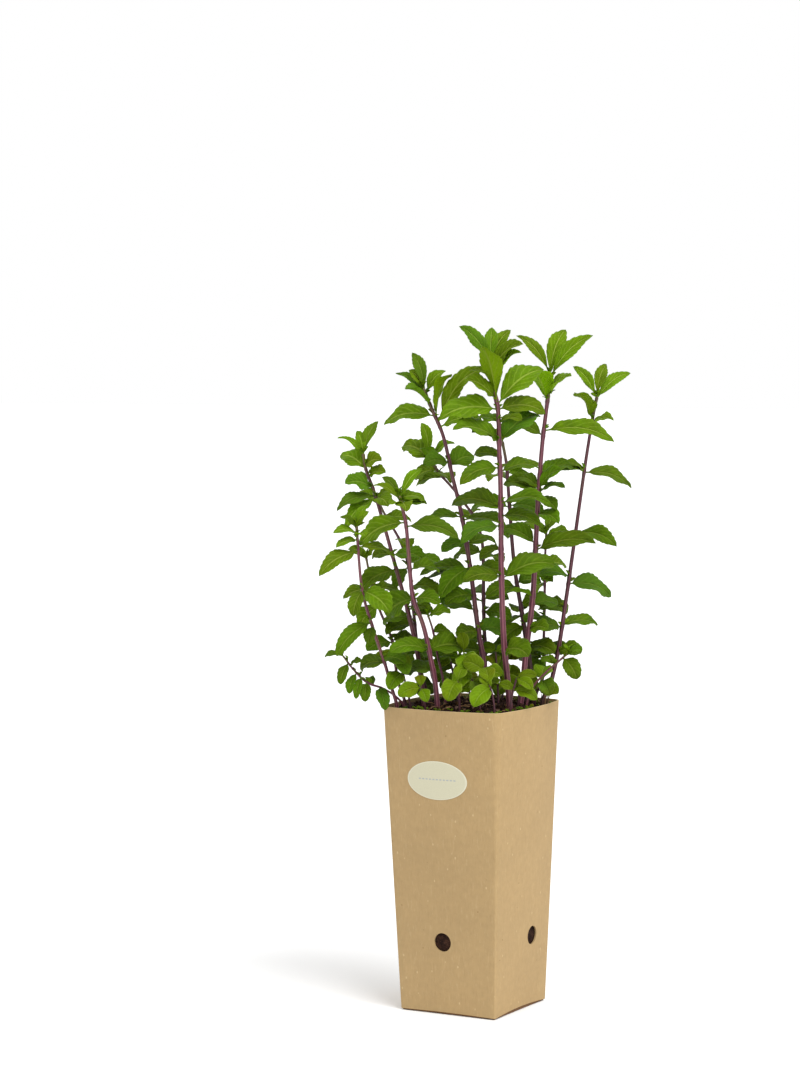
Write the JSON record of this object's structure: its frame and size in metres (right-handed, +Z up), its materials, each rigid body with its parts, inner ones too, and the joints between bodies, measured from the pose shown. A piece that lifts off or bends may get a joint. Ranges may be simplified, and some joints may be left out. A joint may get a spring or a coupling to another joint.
{
  "type": "potted calamint",
  "caption": "Young calamint herb with square stems and toothed leaves, growing in a tall, tapered, square carton pot with a blank oval label.",
  "frame": {"origin": "middle of the pot's underside", "axes": "+Z up, along the stems; -Y out of the wall that carries the label; +X to the right of that wall"},
  "size_m": [0.2661, 0.2646, 0.6693],
  "materials": {
    "carton": "matte brown fibre board",
    "label_paper": "matte cream paper",
    "soil": "rough, crumbly",
    "leaf_green": "satin",
    "basal_leaf_green": "satin"
  },
  "bodies": {
    "root": {"basal_sprig_01": "basal_leaf_green", "basal_sprig_02": "basal_leaf_green", "basal_sprig_03": "basal_leaf_green", "basal_sprig_04": "basal_leaf_green", "basal_sprig_05": "basal_leaf_green", "basal_sprig_06": "basal_leaf_green", "basal_sprig_07": "basal_leaf_green", "basal_sprig_08": "basal_leaf_green", "basal_sprig_09": "basal_leaf_green", "basal_sprig_10": "basal_leaf_green", "basal_sprig_11": "basal_leaf_green", "basal_sprig_12": "basal_leaf_green", "basal_sprig_13": "basal_leaf_green", "basal_sprig_14": "basal_leaf_green", "carton_pot": "carton", "leafy_stem_01_front": "leaf_green", "leafy_stem_02_right": "leaf_green", "leafy_stem_03_far_right": "leaf_green", "leafy_stem_04_front_left": "leaf_green", "leafy_stem_05_centre": "leaf_green", "leafy_stem_06_centre_back": "leaf_green", "leafy_stem_07_left": "leaf_green", "leafy_stem_08_far_left": "leaf_green", "leafy_stem_09_left_back": "leaf_green", "leafy_stem_10_back": "leaf_green", "leafy_stem_11_right_back": "leaf_green", "leafy_stem_12_inner_left": "leaf_green", "leafy_stem_13_thin": "leaf_green", "leafy_stem_14_left_runner": "leaf_green", "leafy_stem_15_right_runner": "leaf_green", "oval_label": "label_paper", "potting_soil": "soil"}
  },
  "joints": []
}
